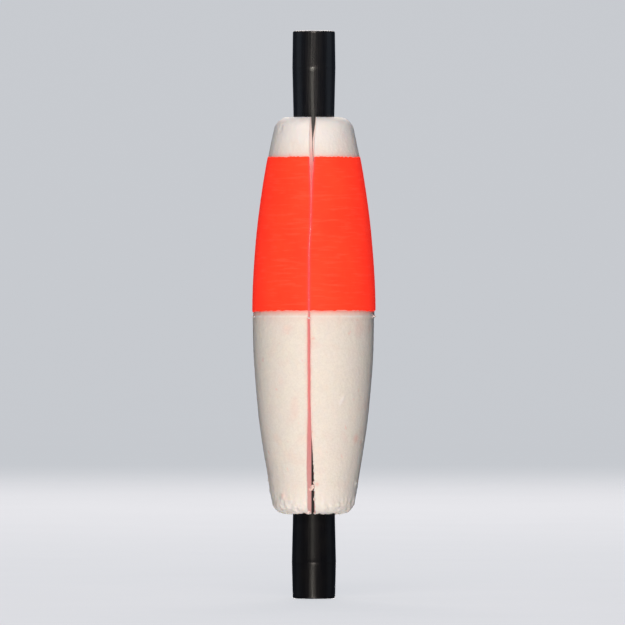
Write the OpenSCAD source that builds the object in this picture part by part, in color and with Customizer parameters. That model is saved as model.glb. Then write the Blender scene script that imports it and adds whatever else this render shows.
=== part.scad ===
// Slotted foam float. Turning its stem, which is made in two halves, locks the line in.
// Millimetres. Z runs along the stem, the painted half is up and the line slit faces -Y.
// The origin is the middle of the line bore.

/* [Foam body] */
// Length of the foam body
body_l = 76.2; // [72:0.1:84]
// Largest diameter of the bare foam
body_d = 23.4; // [22:0.1:26]
// Diameter that the barrel curve reaches at each end, before the corner is rounded
end_d = 14.4; // [14:0.1:16]
// Radius of the rounded corner at each end
end_round = 2.4; // [1.2:0.1:2.6]
// Height of the fine mould ridge round the middle
ridge_h = 0.08; // [0.04:0.01:0.14]
// Width of the mould ridge
ridge_w = 0.4; // [0.3:0.05:0.6]
// Height of the mould ridge's middle above the body's middle
ridge_z = -0.3; // [-0.4:0.1:0]

/* [Line slit in the foam] */
// Width of the slit along its narrow middle
slit_w = 0.4; // [0.2:0.05:0.6]
// Width of the slit's mouth at the top
slit_top_w = 1.1; // [0.7:0.1:1.6]
// Length over which the top mouth closes
slit_top_l = 14; // [4:0.5:18]
// Width of the slit's mouth at the bottom
slit_bottom_w = 1.8; // [0.7:0.1:2.2]
// Length over which the bottom mouth closes
slit_bottom_l = 20; // [8:0.5:24]

/* [Paint] */
// Thickness of the paint coat
coat_t = 0.12; // [0.1:0.01:0.2]
// Height of the coat's lower edge above the body's middle
coat_low = 0.75; // [0.5:0.05:2]
// Height of the coat's upper edge above the body's middle
coat_high = 30.4; // [26:0.1:33]

/* [Stem halves] */
// Overall length of the two joined halves
stem_l = 109.3; // [104:0.1:116]
// Largest diameter of the upper half, at its witness line
upper_d = 8.3; // [8:0.02:8.6]
// Largest diameter of the lower half, at its witness line
lower_d = 8.52; // [8:0.02:8.6]
// Diameter of the upper half's tip
upper_tip_d = 8.12; // [7.8:0.02:8.3]
// Diameter of the lower half's tip
lower_tip_d = 8.2; // [7.8:0.02:8.3]
// Distance from each tip down to its witness line
witness_l = 7; // [5:0.5:10]
// Draft of each half, from its witness line to its inner end, in degrees
stem_draft = 1.3; // [1:0.05:1.4]
// Height of the raised witness line
witness_h = 0.04; // [0.02:0.01:0.08]
// Width of the raised witness line
witness_w = 0.22; // [0.15:0.01:0.4]
// Radius of the rounded outer edge of each tip
tip_round = 0.35; // [0.2:0.05:0.5]
// Radial clearance between the stem and the foam
foam_gap = 0.08; // [0.05:0.01:0.1]

/* [Line passage] */
// Diameter of the line bore
line_d = 2.4; // [2:0.1:2.6]
// Depth of the wide mouth at each tip
mouth_l = 30; // [24:1:34]
// Diameter of the wide mouth at the tip
mouth_d = 5.5; // [5:0.1:5.8]
// Diameter of the wide mouth at its floor
mouth_floor_d = 4.2; // [3.6:0.1:4.6]
// Radius of the rounded inner edge of each tip
lip_round = 0.25; // [0.15:0.05:0.35]
// Width of the lengthwise slot in the stem
slot_w = 1; // [0.8:0.05:1.2]
// Turn of the stem's slot from the foam's slit, 180 when the line is locked in
lock_turn = 180; // [0:5:360]

/* [Keyed joint of the halves] */
// Length of the spigot on the lower half
spigot_l = 8; // [5:0.5:12]
// Diameter of the spigot
spigot_d = 4; // [3.8:0.1:4.2]
// Radial clearance between the spigot and its socket
spigot_gap = 0.05; // [0.03:0.01:0.08]
// Room left beyond the spigot's end, at the socket's floor
socket_room = 0.3; // [0.2:0.05:0.6]
// Width of the key
key_w = 0.9; // [0.7:0.05:1.1]
// Height of the key above the spigot
key_h = 0.4; // [0.3:0.05:0.45]

/* [Hidden] */
// Segments of a full turn
turn_fn = 96;
// Steps along the barrel's side, and along each rounded corner
side_steps = 32;
corner_steps = 8;
body_r = body_d / 2;
half_l = body_l / 2;
half_stem = stem_l / 2;
witness_z = half_stem - witness_l;
// Overshoot of a cut past the faces it opens
cut = 1;
// Radius of the barrel's side, from its chord and its bulge
bulge = (body_d - end_d) / 2;
side_r = (half_l * half_l + bulge * bulge) / (2 * bulge);
side_x = body_r - side_r;
// Centre of the rounded corner, and the direction in which it meets the side
round_z = half_l - end_round;
round_x = side_x + sqrt(pow(side_r - end_round, 2) - pow(round_z, 2));
round_turn = asin(round_z / (side_r - end_round));

// Radius of a half's drafted shank at a height above the middle
function shank_r(big_d, z) = big_d / 2 - (witness_z - z) * tan(stem_draft);

// Points of an arc about a centre, from one angle to another
function arc(centre, r, from, to, steps) =
    [for (i = [0:steps]) let (a = from + (to - from) * i / steps) centre + r * [cos(a), sin(a)]];

// Half of the body's lengthwise section, grown outwards by a coat's thickness
module body_outline(grow = 0)
    polygon(concat(
        [[0, -half_l - grow]],
        arc([round_x, -round_z], end_round + grow, -90, -round_turn, corner_steps),
        arc([side_x, 0], side_r + grow, -round_turn, round_turn, side_steps),
        arc([round_x, round_z], end_round + grow, round_turn, 90, corner_steps),
        [[0, half_l + grow]]));

// Section of the fine ridge that the mould leaves round the middle
module ridge_outline()
    translate([body_r, ridge_z])
        polygon([[-ridge_w, -ridge_w], [0, -ridge_w / 2], [ridge_h, 0], [0, ridge_w / 2],
                 [-ridge_w, ridge_w]]);

// Space of the line slit: a thin slot from the axis out, with a flared mouth at each end
module line_slit() {
    top_slope = (slit_top_w - slit_w) / slit_top_l;
    bottom_slope = (slit_bottom_w - slit_w) / slit_bottom_l;
    top_half = (slit_top_w + cut * top_slope) / 2;
    bottom_half = (slit_bottom_w + cut * bottom_slope) / 2;
    right = [[bottom_half, -half_l - cut], [slit_w / 2, -half_l + slit_bottom_l],
             [slit_w / 2, half_l - slit_top_l], [top_half, half_l + cut]];
    left = [for (i = [len(right) - 1:-1:0]) [-right[i].x, right[i].y]];
    rotate([90, 0, 0]) linear_extrude(body_r + cut) polygon(concat(right, left));
}

// Bore of one end of the foam, drafted like the stem half that it holds
module foam_bore(big_d)
    cylinder(h = half_l + cut, r1 = shank_r(big_d, 0) + foam_gap,
             r2 = shank_r(big_d, half_l + cut) + foam_gap, $fn = turn_fn);

module foam_body()
    color("ivory") difference() {
        rotate_extrude($fn = turn_fn) {
            body_outline();
            ridge_outline();
        }
        foam_bore(upper_d);
        mirror([0, 0, 1]) foam_bore(lower_d);
        line_slit();
    }

// Paint coat, a thin even shell on the upper half of the foam
module paint_band()
    color("tomato") difference() {
        rotate_extrude($fn = turn_fn) intersection() {
            difference() {
                body_outline(coat_t);
                body_outline();
            }
            translate([body_r / 2, coat_low]) square([body_r, coat_high - coat_low]);
        }
        line_slit();
    }

// Lengthwise half section of a stem half, with its tip's edges rounded
module stem_outline(big_d, tip_d) {
    big_r = big_d / 2;
    tip_draft = atan((big_d - tip_d) / 2 / witness_l);
    out_z = half_stem - tip_round;
    out_x = tip_d / 2 + tip_round * tan(tip_draft) - tip_round / cos(tip_draft);
    mouth_draft = atan((mouth_d - mouth_floor_d) / 2 / mouth_l);
    in_z = half_stem - lip_round;
    in_x = mouth_d / 2 - lip_round * tan(mouth_draft) + lip_round / cos(mouth_draft);
    difference() {
        polygon([[0, 0], [shank_r(big_d, 0), 0], [big_r, witness_z],
                 [tip_d / 2, half_stem], [0, half_stem]]);
        polygon([[out_x, half_stem + cut], [big_r + cut, half_stem + cut],
                 [big_r + cut, out_z + tip_round * sin(tip_draft)],
                 [out_x + tip_round * cos(tip_draft), out_z + tip_round * sin(tip_draft)],
                 [out_x, out_z]]);
        polygon([[0, half_stem - mouth_l], [mouth_floor_d / 2, half_stem - mouth_l],
                 [in_x - lip_round * cos(mouth_draft), in_z + lip_round * sin(mouth_draft)],
                 [in_x, in_z], [in_x, half_stem + cut], [0, half_stem + cut]]);
    }
    translate([out_x, out_z]) circle(tip_round, $fn = 48);
    translate([in_x, in_z]) circle(lip_round, $fn = 48);
    translate([big_r - witness_w, witness_z - witness_w / 2])
        square([witness_w + witness_h, witness_w]);
}

// Lengthwise slot, from the axis out through one side
module stem_slot()
    rotate(lock_turn) translate([-slot_w / 2, -body_r, -cut])
        cube([slot_w, body_r, half_stem + 2 * cut]);

// Key or keyway on the side away from the slot
module key(extra, length)
    rotate(lock_turn + 180) translate([-key_w / 2 - extra, -spigot_d / 2 - key_h - extra, 0])
        cube([key_w + 2 * extra, spigot_d / 2 + key_h + extra, length]);

// A half without its joint, standing on the middle plane, with its line bore and slot
module stem_half(big_d, tip_d)
    difference() {
        rotate_extrude($fn = turn_fn) stem_outline(big_d, tip_d);
        translate([0, 0, -cut])
            cylinder(h = half_stem - mouth_l + 2 * cut, d = line_d, $fn = turn_fn);
        stem_slot();
    }

// Upper half, with the socket in its inner end
module upper_stem()
    color([0.1, 0.1, 0.11]) difference() {
        stem_half(upper_d, upper_tip_d);
        translate([0, 0, -cut])
            cylinder(h = spigot_l + socket_room + cut, d = spigot_d + 2 * spigot_gap, $fn = turn_fn);
        translate([0, 0, -cut]) key(spigot_gap, spigot_l + socket_room + cut);
    }

// Lower half, with the keyed spigot that fills the socket
module lower_stem()
    color([0.1, 0.1, 0.11]) {
        mirror([0, 0, 1]) stem_half(lower_d, lower_tip_d);
        difference() {
            translate([0, 0, -cut]) {
                cylinder(h = spigot_l + cut, d = spigot_d, $fn = turn_fn);
                key(0, spigot_l + cut);
            }
            translate([0, 0, -2 * cut])
                cylinder(h = spigot_l + 3 * cut, d = line_d, $fn = turn_fn);
            translate([0, 0, -cut]) stem_slot();
        }
    }

foam_body();
paint_band();
upper_stem();
lower_stem();
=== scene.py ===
"""Looks of a slotted foam float: the moulded foam body, its paint band and the two black stem halves.

Metres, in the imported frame: +Z along the stem towards the painted end, the foam's slit faces -Y.
"""

import math

import bmesh
import bpy
import numpy as np
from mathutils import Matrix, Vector, noise


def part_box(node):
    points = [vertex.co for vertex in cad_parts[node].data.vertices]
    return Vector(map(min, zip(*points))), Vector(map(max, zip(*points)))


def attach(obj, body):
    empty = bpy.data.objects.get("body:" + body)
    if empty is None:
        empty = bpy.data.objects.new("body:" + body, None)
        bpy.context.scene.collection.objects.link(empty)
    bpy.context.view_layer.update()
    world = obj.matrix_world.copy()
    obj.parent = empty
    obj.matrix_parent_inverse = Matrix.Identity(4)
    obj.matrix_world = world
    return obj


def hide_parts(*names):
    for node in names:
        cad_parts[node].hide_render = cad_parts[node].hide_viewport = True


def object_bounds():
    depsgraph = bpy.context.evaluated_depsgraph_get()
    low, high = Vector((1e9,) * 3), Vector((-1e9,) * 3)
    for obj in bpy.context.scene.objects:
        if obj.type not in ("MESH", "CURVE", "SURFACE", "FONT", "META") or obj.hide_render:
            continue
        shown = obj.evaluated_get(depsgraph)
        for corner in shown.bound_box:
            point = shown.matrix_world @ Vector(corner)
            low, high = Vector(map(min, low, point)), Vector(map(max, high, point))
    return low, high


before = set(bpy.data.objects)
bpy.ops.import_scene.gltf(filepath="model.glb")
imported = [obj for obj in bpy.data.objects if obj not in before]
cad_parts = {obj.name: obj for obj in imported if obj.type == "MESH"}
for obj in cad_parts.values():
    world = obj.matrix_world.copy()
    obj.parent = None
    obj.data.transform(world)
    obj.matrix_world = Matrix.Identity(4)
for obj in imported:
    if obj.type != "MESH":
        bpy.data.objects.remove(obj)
cad_low, cad_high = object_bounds()

MM = 0.001

# The foam body, from the frame
_, foam_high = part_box("foam_body")
ridge_height = 0.08 * MM
body_r = foam_high.x - ridge_height
half_l = foam_high.z
# Radius of the barrel's side and of the rounded corner, in the upper and in the lower half
upper_side_r, upper_corner = 161 * MM, 3.0 * MM
lower_side_r, lower_corner = 166 * MM, 2.4 * MM
# The two halves of the mould don't meet quite in line
mould_shift = 0.1 * MM
ridge_z = -0.3 * MM

# The paint band, from the frame
band_low, band_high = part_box("paint_band")
coat_t = 0.12 * MM

# The stem halves: the frame gives their lengths and largest diameters
_, upper_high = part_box("upper_stem")
_, lower_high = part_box("lower_stem")
witness_height = 0.04 * MM
witness_l = 7.0 * MM
stem_draft = math.tan(math.radians(1.3))
foam_gap = 0.08 * MM
line_r = 1.2 * MM
slot_half = 0.5 * MM

# The camera looks a little from the right of the slit
camera_turn = math.radians(4.7)


def smooth(x, low, high):
    """0 below low, 1 above high, and a smooth step between."""
    t = np.clip((np.asarray(x, float) - low) / (high - low), 0, 1)
    return t * t * (3 - 2 * t)


def mix(a, b, t):
    return a + (b - a) * t


def noise_at(points, size, seed=0.0):
    """Smooth noise from -1 to 1 at each point, with features about size across."""
    shift = Vector((seed * 7.31, seed * 3.77, seed * 5.13))
    return np.array([noise.noise(Vector(p) / size + shift) for p in points])


def beads_at(points, size, seed=0.0):
    """Height of the moulded beads at each point, from 0 in the joints between beads to 1 on a bead."""
    shift = Vector((seed * 7.31, seed * 3.77, seed * 5.13))
    out = np.empty(len(points))
    for i, p in enumerate(points):
        near = noise.voronoi(Vector(p) / size + shift)[0]
        out[i] = min(1.0, (near[1] - near[0]) * 2.2)
    return out


def stem_r(largest_d, z):
    """Radius of a stem half's drafted shank at a height above or below the middle."""
    return largest_d / 2 - (upper_high.z - witness_l - abs(z)) * stem_draft


upper_d = upper_high.x * 2 - 2 * witness_height
lower_d = lower_high.x * 2 - 2 * witness_height


def bore_r(z):
    """Radius of the foam's bore."""
    return np.where(z > 0, stem_r(upper_d, z), stem_r(lower_d, z)) + foam_gap


# ---------------------------------------------------------------- mesh helpers


class Grids:
    """Collects grids and faces of points, and welds them into one closed mesh."""

    def __init__(self):
        self.points, self.faces = [], []

    def grid(self, table):
        """table is rows x columns x 3. Adds its points and quads, and returns their indices."""
        rows, columns = table.shape[:2]
        start = len(self.points)
        self.points.extend(map(tuple, table.reshape(-1, 3)))
        index = start + np.arange(rows * columns).reshape(rows, columns)
        quads = np.stack([index[:-1, :-1], index[:-1, 1:], index[1:, 1:], index[1:, :-1]], axis=-1)
        self.faces.extend(map(tuple, quads.reshape(-1, 4).tolist()))
        return index

    def face(self, indices):
        self.faces.append(tuple(int(i) for i in indices))

    def build(self, name, weld=1e-7):
        mesh = bpy.data.meshes.new(name)
        mesh.from_pydata(self.points, [], self.faces)
        bm = bmesh.new()
        bm.from_mesh(mesh)
        bmesh.ops.remove_doubles(bm, verts=bm.verts, dist=weld)
        bmesh.ops.dissolve_degenerate(bm, edges=bm.edges, dist=weld)
        bmesh.ops.recalc_face_normals(bm, faces=bm.faces)
        bm.to_mesh(mesh)
        bm.free()
        return mesh


def coordinates(mesh):
    co = np.empty(len(mesh.vertices) * 3)
    mesh.vertices.foreach_get("co", co)
    return co.reshape(-1, 3)


def normals(mesh):
    out = np.empty(len(mesh.vertices) * 3)
    mesh.vertices.foreach_get("normal", out)
    return out.reshape(-1, 3)


def move_to(mesh, co):
    mesh.vertices.foreach_set("co", co.reshape(-1))
    mesh.update()


def add_value(mesh, name, values):
    """A number for each vertex, which a material reads by name."""
    attribute = mesh.attributes.new(name, "FLOAT", "POINT")
    attribute.data.foreach_set("value", np.asarray(values, np.float32))


def finish_piece(name, mesh, body, slot, *replaced):
    """Makes the object, shades it smooth and ties it to the frame."""
    mesh.shade_smooth()
    piece = bpy.data.objects.new(name, mesh)
    bpy.context.scene.collection.objects.link(piece)
    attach(piece, body)
    if replaced:
        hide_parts(*replaced)
    return piece


def beside(turn, degrees, r):
    """Distance round the float, at a radius, from a turn given in degrees."""
    return np.angle(np.exp(1j * (turn - math.radians(degrees)))) * r


def place(radius, turn, z):
    """Points at a radius and a turn from the slit's side, -Y, towards +X."""
    return np.stack(np.broadcast_arrays(radius * np.sin(turn), -radius * np.cos(turn), z), axis=-1)


# ---------------------------------------------------------------- foam shape


def half_profile(side_r, corner, side_steps, corner_steps):
    """(radius, height) points of one half, from the middle out along the side and round the corner."""
    side_x = body_r - side_r
    centre_z = half_l - corner
    centre_r = side_x + math.sqrt((side_r - corner) ** 2 - centre_z**2)
    turn = math.asin(centre_z / (side_r - corner))
    a = np.linspace(0, turn, side_steps + 1)
    b = np.linspace(turn, math.pi / 2, corner_steps + 1)[1:]
    r = np.concatenate([side_x + side_r * np.cos(a), centre_r + corner * np.cos(b)])
    z = np.concatenate([side_r * np.sin(a), centre_z + corner * np.sin(b)])
    return r, z


def outer_profile(side_steps=112, corner_steps=12):
    """The whole outline from the top face's rim down to the bottom face's rim."""
    top_r, top_z = half_profile(upper_side_r, upper_corner, side_steps, corner_steps)
    low_r, low_z = half_profile(lower_side_r, lower_corner, side_steps, corner_steps)
    return np.concatenate([top_r[::-1], low_r[1:]]), np.concatenate([top_z[::-1], -low_z[1:]])


profile_r, profile_z = outer_profile()


def outer_r(z):
    """Radius of the foam's plain outline at a height."""
    return np.interp(-np.asarray(z), -profile_z, profile_r)


def slit_edges(z):
    """Offsets from the slit's plane, to the left and right, of its edges at the surface and at the bore.

    The numbers are millimetres. The slit is a hairline under the paint, gapes at its top mouth, and below
    the mould ridge it widens to the right in its lower mouth, where its edges are torn.
    """
    z = np.asarray(z, float) / MM
    low, high, top = smooth(-z, 17, 37), smooth(z, 20, 35), smooth(z, 33, 38)
    below_ridge = smooth(-z, -1.2, 0.6)
    half = 0.035 + 0.235 * below_ridge + 0.51 * high
    wander = 0.3 * smooth(z, 11, 20) + 0.06 * below_ridge
    wander += 0.012 * np.sin(z * 0.9) + 0.008 * np.sin(z * 2.3 + 1)
    ragged = 0.08 * np.sin(z * 5.1) * smooth(-z, 26, 31) + 0.05 * np.sin(z * 8.7 + 2) * smooth(-z, 22, 31)
    ragged += 0.1 * smooth(-z, 33, 37)
    left = wander - half - 0.4 * smooth(-z, 16, 31) - 0.3 * ragged
    right = wander + half + 0.62 * low + 0.15 * top + ragged
    left_in = -0.14 + 0.39 * smooth(z, 8, 24) - 0.22 * smooth(z, 28.5, 32.5) - 0.2 * top
    right_in = left_in + 0.07 + 0.5 * low + 0.75 * top
    return left * MM, right * MM, left_in * MM, right_in * MM


def slit_turns(r, z):
    """The turns at which the slit's left and right walls stand, at a radius and a height."""
    left, right, left_in, right_in = slit_edges(z)
    inside = bore_r(z)
    depth = np.clip((outer_r(z) - r) / (outer_r(z) - inside), 0, 1)
    return np.arcsin(mix(left, left_in, depth) / r), np.arcsin(mix(right, right_in, depth) / r)


def around(r, z, columns):
    """A row of points round the body for each radius and height, from the slit's right wall to its left."""
    left, right = slit_turns(r, z)
    share = np.linspace(0, 1, columns + 1)[None, :]
    turn = right[:, None] + (2 * math.pi + left - right)[:, None] * share
    return place(r[:, None], turn, np.broadcast_to(z[:, None], turn.shape))


def foam_mesh(columns=300, face_steps=7, wall_steps=12):
    grids = Grids()
    grids.grid(around(profile_r, profile_z, columns))
    for end in (0, -1):
        z = np.full(wall_steps + 1, profile_z[end])
        r = np.linspace(profile_r[end], bore_r(z[:1])[0], wall_steps + 1)
        grids.grid(around(r, z, columns))
    share = np.linspace(0, 1, wall_steps + 1)
    wall_r = mix(profile_r[:, None], bore_r(profile_z)[:, None], share[None, :])
    wall_z = np.broadcast_to(profile_z[:, None], wall_r.shape)
    left, right = slit_turns(wall_r, wall_z)
    left_wall = grids.grid(place(wall_r, left, wall_z))
    right_wall = grids.grid(place(wall_r, right, wall_z))
    middle = int(np.argmin(np.abs(profile_z)))
    ends = np.array([0, middle, len(profile_z) - 1])
    rings = around(bore_r(profile_z[ends]), profile_z[ends], columns)
    start = len(grids.points)
    grids.points.extend(map(tuple, rings.reshape(-1, 3)))
    ring = start + np.arange(rings.shape[0] * rings.shape[1]).reshape(rings.shape[:2])
    for i in range(2):
        rows = np.arange(ends[i], ends[i + 1] + 1)
        for j in range(1, columns - 1):
            grids.face([ring[i, j], ring[i, j + 1], ring[i + 1, j + 1], ring[i + 1, j]])
        grids.face([*right_wall[rows, -1], ring[i + 1, 1], ring[i, 1]])
        grids.face([*left_wall[rows, -1], ring[i + 1, -2], ring[i, -2]])
    return grids.build("foam")


def foam_relief(co):
    """Outward relief of the foam's skin at each point: beads, slow waves and pits."""
    beads = beads_at(co, 1.25 * MM, seed=1)
    slow = noise_at(co, 7 * MM, seed=2)
    fine = noise_at(co, 0.55 * MM, seed=3)
    return (0.035 * (beads - 0.7) + 0.05 * slow + 0.024 * fine) * MM


def shape_foam(mesh):
    """Moves the plain body's points out and in: skin relief, mould ridge, dents and the ragged lower end."""
    co, out = coordinates(mesh), normals(mesh)
    r = np.hypot(co[:, 0], co[:, 1])
    z = co[:, 2]
    skin = smooth(r, outer_r(z) - 0.5 * MM, outer_r(z) - 0.05 * MM)
    on_face = smooth(np.abs(z), half_l - 0.05 * MM, half_l)
    skin = np.maximum(skin, on_face)
    turn = np.arctan2(co[:, 0], -co[:, 1])

    height = foam_relief(co)
    ridge = np.exp(-(((z - ridge_z) / (0.16 * MM)) ** 2))
    ragged_ridge = 0.75 + 0.5 * noise_at(co, 1.6 * MM, seed=5)
    height += ridge_height * ridge * ragged_ridge
    # Swellings of the ridge: turn from the slit, height and width
    for nub_turn, nub_h, nub_w in ((-77, 0.1, 0.8), (87, 0.1, 0.8), (-58, 0.1, 0.8), (170, 0.12, 0.7)):
        side = (turn - math.radians(nub_turn)) * body_r
        height += nub_h * MM * ridge * np.exp(-((side / (nub_w * MM)) ** 2))
    height += 0.2 * MM * smooth(-z, 29.5 * MM, 35.5 * MM)

    # Crumbled lower end: its rim and its face swell and break up into lumps
    low = smooth(-z, 33.5 * MM, 37.5 * MM)
    lumps = beads_at(co, 1.0 * MM, seed=6) - 0.5
    crumbs = noise_at(co, 0.8 * MM, seed=7)
    height += low * (0.12 * lumps + 0.2 * crumbs) * MM
    high = smooth(z, 35 * MM, 37.5 * MM)
    height += high * 0.03 * crumbs * MM

    # Small dents and bumps of handling: turn from the slit, height, radius and depth
    for dent_turn, dent_z, dent_r, depth in (
        (-52, 35.8, 0.55, 0.14), (-41, -35.1, 0.5, -0.2), (-78, -31.9, 0.35, -0.2),
        (-80, -33.8, 0.4, -0.18), (76, -32.4, 0.35, -0.22), (150, 12, 0.7, 0.1), (80, -35.4, 0.5, -0.2),
        (-120, -20, 0.8, 0.1), (110, -9, 0.6, 0.08), (78, -24.0, 0.35, -0.16), (200, -28, 0.6, 0.12),
    ):
        far = np.hypot(beside(turn, dent_turn, r), z - dent_z * MM) / (dent_r * MM)
        height -= depth * MM * np.exp(-(far**2))

    # A pale scratch, slanting up to the right
    side, up = beside(turn, 35, r), z + 16.4 * MM
    across, length = side * 0.9 - up * 0.43, side * 0.43 + up * 0.9
    scratch = np.exp(-((across / (0.27 * MM)) ** 2) - (length / (0.95 * MM)) ** 4)
    height += 0.13 * MM * scratch
    moved = co + out * (height * skin)[:, None]
    # The lower face hangs down in a ragged skirt round the stem
    skirt = on_face * (z < 0)
    near_stem = 1 - smooth(r, 4.6 * MM, 6.6 * MM)
    moved[:, 2] += skirt * (0.3 - near_stem * (0.22 + 0.3 * crumbs)) * MM
    moved[:, 2] -= 0.12 * MM * on_face * (z > 0)
    # Walls of the slit are torn, not smooth
    wall = (1 - skin) * smooth(r, bore_r(z) + 0.1 * MM, bore_r(z) + 0.6 * MM)
    moved += out * (wall * 0.03 * MM * noise_at(co, 0.7 * MM, seed=8))[:, None]
    moved[:, 0] -= mould_shift * smooth(-z, 0.25 * MM, 0.45 * MM) * skin
    # None of this may reach into the bore, where the stem turns
    from_axis = np.hypot(moved[:, 0], moved[:, 1])
    moved[:, :2] *= np.maximum(1, bore_r(moved[:, 2]) / from_axis)[:, None]
    move_to(mesh, moved)
    # wall is 1 on the slit's walls and in the bore: it gives them their pink and their painted light.
    add_value(mesh, "wall", 1 - np.maximum(on_face, smooth(r, outer_r(z) - 0.3 * MM, outer_r(z))))
    pale = np.maximum(ridge * np.clip(height / MM / 0.12, 0, 1), scratch)
    add_value(mesh, "ridge", pale * skin)
    add_value(mesh, "blush", blush_at(co))


def blush_at(co):
    """Where paint mist and pink smudges tint the white foam, from 0 to 1."""
    r = np.hypot(co[:, 0], co[:, 1])
    turn = np.arctan2(co[:, 0], -co[:, 1])
    z = co[:, 2]
    below, above = np.abs(z - band_low.z), np.abs(z - band_high.z)
    mist = 0.85 * np.exp(-below / (0.4 * MM)) + 0.24 * np.exp(-below / (1.6 * MM))
    mist += 0.5 * np.exp(-above / (0.3 * MM)) + 0.1 * np.exp(-above / (1.2 * MM))
    blotch = 0.12 * smooth(noise_at(co, 3.0 * MM, seed=11), 0.15, 0.8)
    specks = 0.3 * smooth(noise_at(co, 0.9 * MM, seed=12), 0.62, 0.8)
    tint = mist + blotch + specks
    # Pink smudges: turn from the slit, height, size and strength
    for smudge_turn, smudge_z, size, share in (
        (60, -23.8, 0.8, 0.35), (-53, -8.7, 0.3, 0.4), (72, -24.6, 0.5, 0.3),
        (-40, -34.8, 0.6, 0.2), (9.5, -32.5, 0.3, 0.5), (140, -12, 0.9, 0.3), (-130, 33.5, 0.7, 0.25),
    ):
        side = beside(turn, smudge_turn, r)
        tint += share * np.exp(-((side**2 + (z - smudge_z * MM) ** 2) / (size * MM) ** 2))
    # The cutter dragged paint along the slit's edges
    left, right = slit_turns(outer_r(z), z)
    near = np.minimum(np.abs(turn - left), np.abs(turn - right)) * r
    tint += 0.4 * np.exp(-near / (0.22 * MM)) * smooth(-z, -1 * MM, 1 * MM) * smooth(z, -31 * MM, -22 * MM)
    return np.clip(tint, 0, 1)


def crumb(grids, turn, r, z, size, seed):
    """A loose lump of foam, pressed on the body at a place."""
    bm = bmesh.new()
    bmesh.ops.create_icosphere(bm, subdivisions=3, radius=1.0)
    centre = place(np.array(r), np.array(turn), np.array(z))
    start = len(grids.points)
    for v in bm.verts:
        swell = 1 + 0.35 * noise.noise(v.co * 1.3 + Vector((seed, 0, 0)))
        p = Vector(v.co) * swell
        grids.points.append(tuple(centre + np.array([p.x * size[0], p.y * size[1], p.z * size[2]])))
    for f in bm.faces:
        grids.face([start + v.index for v in f.verts])
    bm.free()


def crumbs_mesh():
    """The torn crumbs in the slit's lower mouth and at its corner, and the nubs on the mould ridge."""
    grids = Grids()
    # Crumbs that hang from the slit's right wall: turn from the wall, depth, rise, size and seed
    mouth_z = -33.5 * MM
    surface = outer_r(mouth_z)
    right = float(slit_turns(surface - 0.3 * MM, np.array(mouth_z))[1])
    for turn, depth, rise, size, seed in (
        (-0.095, 0.9, 0, (0.36, 0.5, 0.34), 1), (-0.045, 0.45, 0.5, (0.36, 0.5, 0.4), 5),
        (-0.01, 0.4, 1.3, (0.24, 0.4, 0.35), 4), (-0.005, 0.5, -1.9, (0.2, 0.4, 0.3), 6),
    ):
        crumb(grids, right + turn, surface - depth * MM, mouth_z + rise * MM, [x * MM for x in size], seed)
    # Crumbs at the slit's lower left corner
    corner_z = -37.9 * MM
    left = float(slit_turns(6.2 * MM, np.array(corner_z))[0])
    crumb(grids, left - 0.02, 6.0 * MM, corner_z, (0.5 * MM, 0.5 * MM, 0.42 * MM), 2)
    crumb(grids, left - 0.09, 6.1 * MM, corner_z + 0.1 * MM, (0.4 * MM, 0.45 * MM, 0.3 * MM), 3)
    # Nubs on the mould ridge: turn from the slit, size and height
    for turn, size, height in (
        (-80, 0.32, -0.4), (-71, 0.24, -0.4), (89, 0.3, -0.3),
        (81, 0.24, -0.3), (0.1, 0.2, -0.62), (171, 0.3, -0.3),
    ):
        r = outer_r(ridge_z) - 0.01 * MM
        crumb(grids, math.radians(turn), r, height * MM, (size * MM, size * MM, 0.19 * MM), turn)
    mesh = grids.build("crumbs")
    # The torn crumbs take a little of the slit walls' pink and of their painted light, and some blush; the
    # ridge's nubs are pale.
    torn = coordinates(mesh)[:, 2] < -20 * MM
    add_value(mesh, "wall", 0.12 * torn)
    add_value(mesh, "ridge", 0.9 * ~torn)
    add_value(mesh, "blush", 0.2 * torn)
    return mesh


# ---------------------------------------------------------------- paint shape


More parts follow.
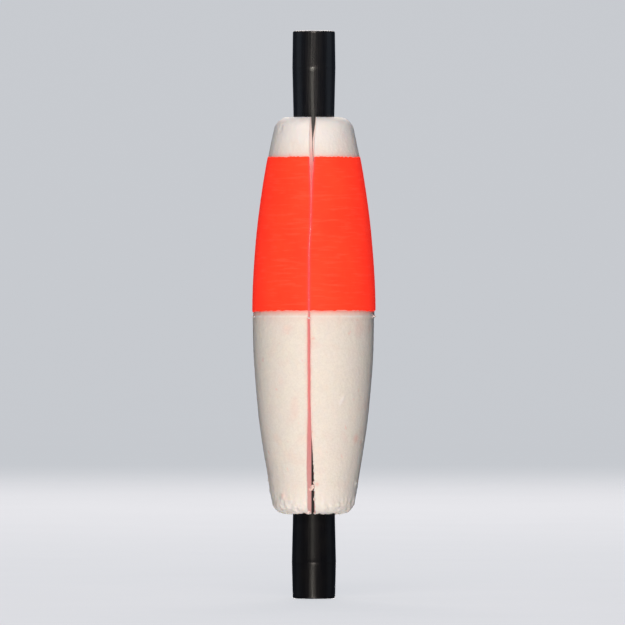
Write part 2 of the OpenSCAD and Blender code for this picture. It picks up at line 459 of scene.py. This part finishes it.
def paint_mesh(columns=420, rows=88, back_rows=20):
    """The coat as a thin closed shell on the foam, with slightly wavy edges."""
    share = np.linspace(0, 1, columns + 1)
    rim = place(body_r, 2 * math.pi * share, 0 * share)
    wave = 0.16 * noise_at(rim, 0.8 * MM, seed=21) + 0.12 * noise_at(rim, 6 * MM, seed=22)
    droop = 0.3 * np.exp(-(((share - 0.76) / 0.06) ** 2))
    low = band_low.z + (wave - droop) * MM
    wave = 0.17 * noise_at(rim, 0.75 * MM, seed=23) + 0.1 * noise_at(rim, 7 * MM, seed=24)
    high = band_high.z + wave * MM

    def shell(depth_in, steps, offset):
        edge = np.array([0, 0.05, 0.1, 0.15, 0.22]) * MM
        inner = np.linspace(0, 1, steps + 1)
        z = np.concatenate([
            low + edge[:, None],
            mix(low + 0.3 * MM, high - 0.3 * MM, inner[:, None]),
            high - edge[::-1, None],
        ])
        near = np.minimum(z - low, high - z)
        lift = mix(-0.04 * MM, offset(z), smooth(near, 0, depth_in))
        r = outer_r(z)
        left, right = slit_turns(r, z)
        turn = right + (2 * math.pi + left - right) * share
        return place(r + lift, turn, z)

    grids = Grids()
    grids.grid(shell(0.18 * MM, rows, lambda z: coat_t + 0.08 * MM * (1 - smooth(z, 2 * MM, 14 * MM))))
    grids.grid(shell(0.1 * MM, rows, lambda z: np.full(z.shape, -0.15 * MM)))
    outside = np.array(grids.points[: len(grids.points) // 2]).reshape(-1, columns + 1, 3)
    inside = np.array(grids.points[len(grids.points) // 2 :]).reshape(-1, columns + 1, 3)
    for column in (0, -1):
        grids.grid(np.stack([outside[:, column], inside[:, column]], axis=1))
    mesh = grids.build("paint")

    co = coordinates(mesh)
    r = np.hypot(co[:, 0], co[:, 1])
    turn = np.arctan2(co[:, 0], -co[:, 1])
    face = smooth(r - outer_r(co[:, 2]), 0.02 * MM, 0.1 * MM)
    streak_at = np.stack([turn * 0.9, turn * 0, co[:, 2] / (0.45 * MM)], axis=1)
    streaks = noise_at(streak_at, 1.0, seed=25)
    relief = 0.5 * foam_relief(co) + (0.008 * streaks + 0.006 * noise_at(co, 0.5 * MM, seed=26)) * MM
    out = co * [1, 1, 0]
    out /= np.linalg.norm(out, axis=1)[:, None]
    left, right = slit_turns(outer_r(co[:, 2]), co[:, 2])
    near = np.minimum(np.abs(turn - left), np.abs(turn - right)) * r
    add_value(mesh, "seam", np.exp(-near / (0.14 * MM)))
    move_to(mesh, co + out * (relief * face)[:, None])
    return mesh


# ---------------------------------------------------------------- stem shape


def arc(centre, radius, start, end, steps):
    a = np.radians(np.linspace(start, end, steps + 1))
    return [(centre[0] + radius * math.cos(x), centre[1] + radius * math.sin(x)) for x in a]


def along(a, b, steps):
    """Points from a towards b, without b."""
    return [(mix(a[0], b[0], i / steps), mix(a[1], b[1], i / steps)) for i in range(steps)]


def stem_outline(largest_d, tip_d, joint):
    """Closed (radius, height) outline of a stem half with its tip up. joint is its inner end's points."""
    tip = upper_high.z
    tip_round, lip_round = 0.35 * MM, 0.25 * MM
    mouth_r, floor_r, mouth_l = 2.75 * MM, 2.1 * MM, 30 * MM
    witness_z = tip - witness_l
    witness_half = 0.11 * MM
    big = largest_d / 2
    foot = (stem_r(largest_d, 0), 0.0)
    corner = (tip_d / 2 - tip_round, tip - tip_round)
    lip = (mouth_r + lip_round, tip - lip_round)
    floor = tip - mouth_l
    return [
        *along(foot, (big, witness_z - witness_half), 60),
        (big, witness_z - witness_half),
        (big + 0.4 * witness_height, witness_z - 0.3 * witness_half),
        (big + 0.4 * witness_height, witness_z + 0.3 * witness_half),
        *along((big, witness_z + witness_half), (tip_d / 2, corner[1]), 14),
        *arc(corner, tip_round, 0, 90, 8),
        *arc(lip, lip_round, 90, 180, 6),
        *along((mouth_r, lip[1] - 0.1 * MM), (floor_r, floor), 30),
        (floor_r, floor),
        *along((line_r + 0.2 * MM, floor), (line_r, floor - 0.2 * MM), 3),
        *joint,
    ]


def stem_mesh(name, outline, key, columns=168):
    """Sweeps the outline round, from one wall of the slot to the other, and widens the keyed stretch."""
    outline = np.array(outline)
    gap = np.arcsin(np.minimum(slot_half / outline[:, 0], 1))
    share = np.linspace(0, 1, columns + 1)[None, :]
    turn = math.pi + gap[:, None] + (2 * math.pi - 2 * gap[:, None]) * share
    r = np.repeat(outline[:, :1], columns + 1, axis=1)
    z = np.repeat(outline[:, 1:], columns + 1, axis=1)
    key_r, key_step, key_half, key_top = key
    facing = (np.abs(r * np.sin(turn)) < key_half) & (np.cos(turn) > 0)
    keyed = (np.abs(r - key_r) < 1e-6) & (z <= key_top) & facing
    r = np.where(keyed, r + key_step, r)
    grids = Grids()
    table = place(r, turn, z)
    grids.grid(np.concatenate([table, table[:1]]))
    for column in (0, -1):
        start = len(grids.points)
        grids.points.extend(map(tuple, table[:, column]))
        grids.face(range(start, start + len(outline)))
    mesh = grids.build(name)
    co, out = coordinates(mesh), normals(mesh)
    seed = 31 if name == "upper" else 37
    wave = 0.012 * noise_at(co * [1, 1, 0.25], 3 * MM, seed)
    wave += 0.002 * noise_at(co, 0.4 * MM, seed + 1)
    outside = smooth(np.hypot(co[:, 0], co[:, 1]), 3.3 * MM, 3.6 * MM)
    move_to(mesh, co + out * (wave * outside * MM)[:, None])
    return mesh


def upper_joint():
    """Socket of the upper half, from the line bore out to the inner end's face."""
    socket_r, socket_l = 2.05 * MM, 8.3 * MM
    return [
        *along((line_r, 20 * MM), (line_r, socket_l), 6),
        (line_r, socket_l),
        *along((socket_r, socket_l), (socket_r, 0), 10),
        (socket_r, 0.0),
    ]


def lower_joint():
    """Spigot of the lower half. The half is drawn with its tip up, so the spigot points down."""
    spigot_r, spigot_l = 2.0 * MM, 8 * MM
    return [
        *along((line_r, 20 * MM), (line_r, -spigot_l), 8),
        (line_r, -spigot_l),
        *along((spigot_r - 0.2 * MM, -spigot_l), (spigot_r, 0.2 * MM - spigot_l), 2),
        *along((spigot_r, 0.2 * MM - spigot_l), (spigot_r, 0), 10),
        (spigot_r, 0.0),
    ]


# ---------------------------------------------------------------- materials


class Material:
    """A node material, built a node at a time."""

    def __init__(self, name):
        self.data = bpy.data.materials.new(name)
        self.data.use_nodes = True
        self.nodes, self.links = self.data.node_tree.nodes, self.data.node_tree.links
        self.shader = self.nodes["Principled BSDF"]

    def add(self, kind, inputs=(), **settings):
        made = self.nodes.new(kind)
        for key, value in settings.items():
            setattr(made, key, value)
        for key, value in dict(inputs).items():
            self.set(made, key, value)
        return made

    def set(self, made, key, value):
        if isinstance(value, bpy.types.NodeSocket):
            self.links.new(value, made.inputs[key])
        else:
            made.inputs[key].default_value = value

    def shade(self, **inputs):
        for key, value in inputs.items():
            self.set(self.shader, key.replace("_", " "), value)

    def place(self, scale=(1, 1, 1)):
        """The point in the piece's own space, stretched by a scale."""
        where = self.add("ShaderNodeTexCoord").outputs["Object"]
        return self.add("ShaderNodeMapping", {"Vector": where, "Scale": scale}).outputs["Vector"]

    def noise(self, where, size, detail=2.0, roughness=0.5):
        inputs = {"Vector": where, "Scale": 1 / size, "Detail": detail, "Roughness": roughness}
        return self.add("ShaderNodeTexNoise", inputs).outputs["Fac"]

    def cells(self, where, size, feature="DISTANCE_TO_EDGE", output="Distance"):
        inputs = {"Vector": where, "Scale": 1 / size}
        return self.add("ShaderNodeTexVoronoi", inputs, feature=feature).outputs[output]

    def spread(self, value, low, high, to_low=0.0, to_high=1.0):
        inputs = {0: value, 1: low, 2: high, 3: to_low, 4: to_high}
        return self.add("ShaderNodeMapRange", inputs).outputs[0]

    def blend(self, share, a, b, mode="MIX"):
        made = self.add("ShaderNodeMix", data_type="RGBA", blend_type=mode)
        for key, value in ((0, share), (6, a), (7, b)):
            self.set(made, key, value)
        return made.outputs[2]

    def value(self, name):
        return self.add("ShaderNodeAttribute", attribute_name=name).outputs["Fac"]

    def bump(self, height, distance, strength=1.0, under=None):
        inputs = {"Height": height, "Distance": distance, "Strength": strength}
        if under is not None:
            inputs["Normal"] = under
        return self.add("ShaderNodeBump", inputs).outputs["Normal"]


def foam_material():
    m = Material("foam_skin")
    where = m.place()
    edge = m.cells(where, 1.15 * MM)
    tone = m.cells(where, 1.15 * MM, "F1", "Color")
    fine = m.noise(where, 0.35 * MM, 3)
    slow = m.noise(where, 6 * MM, 3)
    base = m.blend(m.spread(slow, 0.35, 0.65), (0.93, 0.905, 0.825, 1), (0.94, 0.895, 0.835, 1))
    grey = m.add("ShaderNodeSeparateColor", {"Color": tone}).outputs[0]
    base = m.blend(m.spread(grey, 0, 1, 0, 0.27), base, (0.84, 0.81, 0.77, 1))
    base = m.blend(m.spread(edge, 0.0, 0.16, 0.11, 0), base, (0.74, 0.69, 0.65, 1))
    # The fine grain's pits are darker: painted shade in the small hollows of the skin.
    base = m.blend(m.spread(fine, 0.38, 0.56, 0.22, 0), base, (0.76, 0.72, 0.66, 1))
    height = m.add("ShaderNodeSeparateXYZ", {"Vector": where}).outputs["Z"]
    # Lighter towards both ends: paler foam at the top end, and at the bottom end partly painted light for
    # its brightly lit rim.
    base = m.blend(m.spread(height, 29 * MM, 34 * MM, 0, 0.8), base, (0.98, 0.965, 0.95, 1))
    base = m.blend(m.spread(height, -32 * MM, -37 * MM, 0, 0.7), base, (0.99, 0.945, 0.90, 1))
    base = m.blend(m.value("blush"), base, (0.93, 0.36, 0.30, 1))
    base = m.blend(m.value("ridge"), base, (0.97, 0.95, 0.93, 1))
    # Pink of the slit's torn walls, where paint wicked in. This colour also feeds the walls' painted
    # emission below.
    torn = m.blend(m.spread(height, -17 * MM, -25 * MM), (0.60, 0.26, 0.255, 1), (0.55, 0.285, 0.28, 1))
    torn = m.blend(m.spread(height, -25 * MM, -37 * MM), torn, (0.56, 0.36, 0.34, 1))
    torn = m.blend(m.spread(height, 2 * MM, 6 * MM), torn, (0.62, 0.22, 0.21, 1))
    torn = m.blend(m.spread(height, 28 * MM, 32.5 * MM), torn, (0.60, 0.52, 0.49, 1))
    torn = m.blend(m.spread(m.noise(where, 0.8 * MM, 2), 0.4, 0.75, 0, 0.3), torn, (0.68, 0.45, 0.42, 1))
    base = m.blend(m.value("wall"), base, torn)
    # Painted light: the slit's walls give off their own pink light, for the light that scatters through the
    # foam into the narrow slit.
    painted_slit_glow = m.blend(m.value("wall"), (0, 0, 0, 1), torn)
    skin = m.bump(m.spread(edge, 0, 0.3), 0.02 * MM, 0.2)
    skin = m.bump(fine, 0.045 * MM, 0.9, skin)
    m.shade(Base_Color=base, Roughness=m.spread(fine, 0.3, 0.7, 0.62, 0.78), Normal=skin)
    m.shade(Emission_Color=painted_slit_glow, Emission_Strength=0.5)
    m.shade(Subsurface_Weight=0.35, Subsurface_Radius=(1.0, 0.8, 0.65), Subsurface_Scale=0.9 * MM)
    m.shade(Specular_IOR_Level=0.35)
    return m.data


def paint_material():
    m = Material("fluorescent_paint")
    where = m.place()
    round_it = m.place((0.12, 0.12, 1))
    streaks = m.noise(round_it, 0.5 * MM, 3)
    fine = m.noise(where, 0.3 * MM, 2)
    slow = m.noise(where, 5 * MM, 2)
    base = m.blend(m.spread(slow, 0.3, 0.7), (0.97, 0.058, 0.014, 1), (0.98, 0.072, 0.018, 1))
    base = m.blend(m.spread(streaks, 0.52, 0.72, 0, 0.4), base, (0.98, 0.13, 0.06, 1))
    base = m.blend(m.spread(fine, 0.3, 0.6, 0.12, 0), base, (0.90, 0.04, 0.01, 1))
    base = m.blend(m.value("seam"), base, (0.88, 0.10, 0.13, 1))
    skin = m.bump(streaks, 0.03 * MM, 0.35)
    skin = m.bump(m.cells(where, 1.15 * MM), 0.01 * MM, 0.3, skin)
    skin = m.bump(fine, 0.01 * MM, 0.4, skin)
    m.shade(Base_Color=base, Roughness=m.spread(fine, 0.3, 0.7, 0.6, 0.72), Normal=skin)
    m.shade(Specular_IOR_Level=0.12)
    # Painted light: the paint gives off its own red light, standing in for its fluorescence, the same under
    # any lamp.
    m.shade(Emission_Color=(1.0, 0.014, 0.018, 1), Emission_Strength=0.55)
    return m.data


def stem_material(name, specular, roughness, streak):
    m = Material(name)
    where = m.place()
    drawn = m.place((1, 1, 0.03))
    fine = m.noise(where, 0.12 * MM, 2)
    lines = m.noise(drawn, 0.32 * MM, 2)
    slow = m.noise(where, 2.5 * MM, 2)
    base = m.blend(m.spread(slow, 0.3, 0.7), (0.0035, 0.0035, 0.0045, 1), (0.0055, 0.0052, 0.0055, 1))
    dust = m.spread(m.noise(where, 0.5 * MM, 4, 0.7), 0.6, 0.8, 0, 0.25)
    base = m.blend(dust, base, (0.03, 0.028, 0.027, 1))
    rough = m.spread(lines, 0.3, 0.7, roughness - 0.05, roughness + 0.05)
    skin = m.bump(lines, streak, 0.8)
    skin = m.bump(fine, 0.004 * MM, 0.4, skin)
    m.shade(Base_Color=base, Roughness=rough, Normal=skin, Specular_IOR_Level=specular)
    return m.data


def stage_material():
    m = Material("pale_stage")
    grain = m.noise(m.place(), 40 * MM, 2)
    m.shade(Base_Color=m.blend(m.spread(grain, 0.3, 0.7), (0.19, 0.19, 0.20, 1), (0.20, 0.20, 0.21, 1)))
    m.shade(Roughness=0.9, Specular_IOR_Level=0.0)
    m.shade(Emission_Color=(0.92, 0.95, 1.0, 1), Emission_Strength=0.6)
    return m.data


# ---------------------------------------------------------------- pieces


def make_foam():
    mesh = foam_mesh()
    shape_foam(mesh)
    mesh.materials.append(foam_material())
    foam = finish_piece("foam_body_skin", mesh, "float_body", "foam", "foam_body")
    mesh = crumbs_mesh()
    mesh.materials.append(foam.data.materials[0])
    finish_piece("foam_crumbs", mesh, "float_body", "foam")


def make_paint():
    mesh = paint_mesh()
    mesh.materials.append(paint_material())
    finish_piece("paint_coat", mesh, "float_body", "paint", "paint_band")


def make_stems():
    key = (2.05 * MM, 0.45 * MM, 0.5 * MM, 8.3 * MM)
    mesh = stem_mesh("upper", stem_outline(upper_d, 8.12 * MM, upper_joint()), key)
    mesh.materials.append(stem_material("black_plastic_upper", 0.85, 0.28, 0.03 * MM))
    finish_piece("upper_stem_half", mesh, "upper_stem", "stem", "upper_stem")
    key = (2.0 * MM, 0.4 * MM, 0.45 * MM, 0.0)
    mesh = stem_mesh("lower", stem_outline(lower_d, 8.2 * MM, lower_joint()), key)
    co = coordinates(mesh) * [1, 1, -1]
    move_to(mesh, co)
    mesh.flip_normals()
    mesh.materials.append(stem_material("black_plastic_lower", 0.26, 0.31, 0.02 * MM))
    finish_piece("lower_stem_half", mesh, "lower_stem", "stem", "lower_stem")


# ---------------------------------------------------------------- stage, light and camera


def make_stage():
    """A round pale floor that curves up into a wall on every side."""
    floor_r, curve_r, wall_top = 2.1, 0.8, 2.4
    ground = cad_low.z - 0.05 * MM
    outline = [(0.001, ground), (0.1, ground), (0.4, ground), (floor_r, ground)]
    outline += [(floor_r + p[0], ground + curve_r + p[1]) for p in arc((0, 0), curve_r, -85, 0, 17)]
    outline.append((floor_r + curve_r, wall_top))
    outline = np.array(outline)
    turn = np.linspace(0, 2 * math.pi, 97)[None, :]
    grids = Grids()
    r, z = outline[:, :1], np.repeat(outline[:, 1:], 97, axis=1)
    grids.grid(place(r, turn, z))
    grids.face(range(96))
    mesh = grids.build("stage")
    mesh.shade_smooth()
    mesh.materials.append(stage_material())
    stage = bpy.data.objects.new("stage", mesh)
    bpy.context.scene.collection.objects.link(stage)
    stage.visible_diffuse = False
    stage.visible_glossy = False
    stage.visible_shadow = False


def add_light(name, azimuth, elevation, distance, size, power, colour):
    """A soft rectangular light that looks at the float. Azimuth 0 is on the slit's side."""
    light = bpy.data.lights.new(name, "AREA")
    light.shape = "RECTANGLE"
    light.size, light.size_y = size
    light.energy, light.color = power, colour
    holder = bpy.data.objects.new(name, light)
    bpy.context.scene.collection.objects.link(holder)
    a, e = math.radians(azimuth), math.radians(elevation)
    back = Vector((math.sin(a) * math.cos(e), -math.cos(a) * math.cos(e), math.sin(e)))
    holder.location = back * distance
    holder.rotation_euler = (-back).to_track_quat("-Z", "Y").to_euler()
    holder.visible_camera = False
    return holder


def make_lights():
    add_light("key_low", 2.3, -25, 1.15, (0.34, 0.24), 6.5, (1.0, 0.87, 0.79))
    add_light("key_middle", -3.5, -10, 1.15, (0.14, 0.1), 1.5, (1.0, 0.97, 0.84))
    add_light("key_high", 2.8, 33, 1.15, (0.34, 0.24), 5.9, (1.0, 0.87, 0.79))
    add_light("back_low", 184.7, -12, 1.4, (0.5, 0.4), 5.0, (1.0, 0.90, 0.84))
    add_light("back_high", 184.7, 36, 1.4, (0.6, 0.6), 12.0, (1.0, 0.90, 0.84))
    add_light("left", -85, 8, 1.4, (0.9, 1.0), 0.55, (0.7, 0.84, 1.0))
    add_light("right", 95, 8, 1.4, (0.9, 1.0), 0.55, (0.7, 0.84, 1.0))
    add_light("top", 4.7, 88, 1.3, (0.9, 0.9), 4.5, (0.96, 0.98, 1.0))
    add_light("floor_bounce", 4.7, -88, 1.3, (0.9, 0.9), 5.0, (1.0, 0.97, 0.95))
    world = bpy.data.worlds.new("room")
    world.use_nodes = True
    world.node_tree.nodes["Background"].inputs["Color"].default_value = (0.5, 0.68, 1.0, 1)
    world.node_tree.nodes["Background"].inputs["Strength"].default_value = 0.06
    bpy.context.scene.world = world


def make_camera():
    """A long lens a long way off, level with the float's middle."""
    distance, sees = 2.0, 120.42 * MM
    camera = bpy.data.cameras.new("camera")
    camera.sensor_width = 36
    camera.lens = camera.sensor_width * distance / sees
    camera.clip_start, camera.clip_end = 0.05, 10
    holder = bpy.data.objects.new("camera", camera)
    bpy.context.scene.collection.objects.link(holder)
    back = Vector((math.sin(camera_turn), -math.cos(camera_turn), 0))
    right = Vector((math.cos(camera_turn), math.sin(camera_turn), 0))
    aim = -0.27 * MM * right + Vector((0, 0, 0.43 * MM))
    holder.location = aim + back * distance
    holder.rotation_euler = (-back).to_track_quat("-Z", "Y").to_euler()
    bpy.context.scene.camera = holder


make_foam()
make_paint()
make_stems()
make_stage()
make_lights()
make_camera()
bpy.context.scene.view_settings.view_transform = "Standard"
